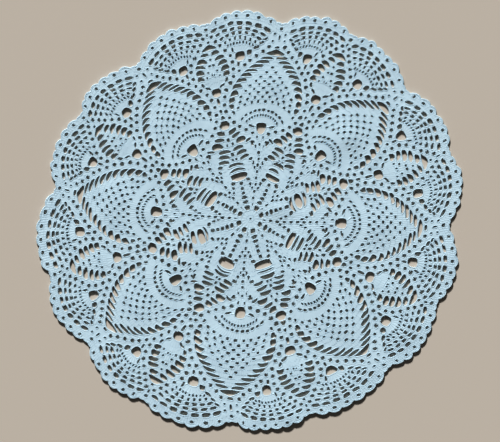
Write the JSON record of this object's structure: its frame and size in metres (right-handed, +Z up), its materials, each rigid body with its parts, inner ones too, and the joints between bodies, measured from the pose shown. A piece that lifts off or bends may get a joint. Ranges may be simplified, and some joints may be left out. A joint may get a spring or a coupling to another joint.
{
  "type": "lace doily",
  "caption": "Round pineapple-crochet doily in pale blue cotton, flat, with a scalloped looped edge.",
  "frame": {"origin": "middle of the doily's bounding box, on its underside, within a millimetre or two of the centre ring", "axes": "+Z up through the sheet, +X and +Y in its plane; the first large pineapple points about 5 degrees below +X"},
  "size_m": [0.427, 0.4206, 0.002],
  "materials": {
    "cotton_thread": "matt mercerised cotton thread"
  },
  "bodies": {
    "root": {"doily": "cotton_thread"}
  },
  "joints": []
}
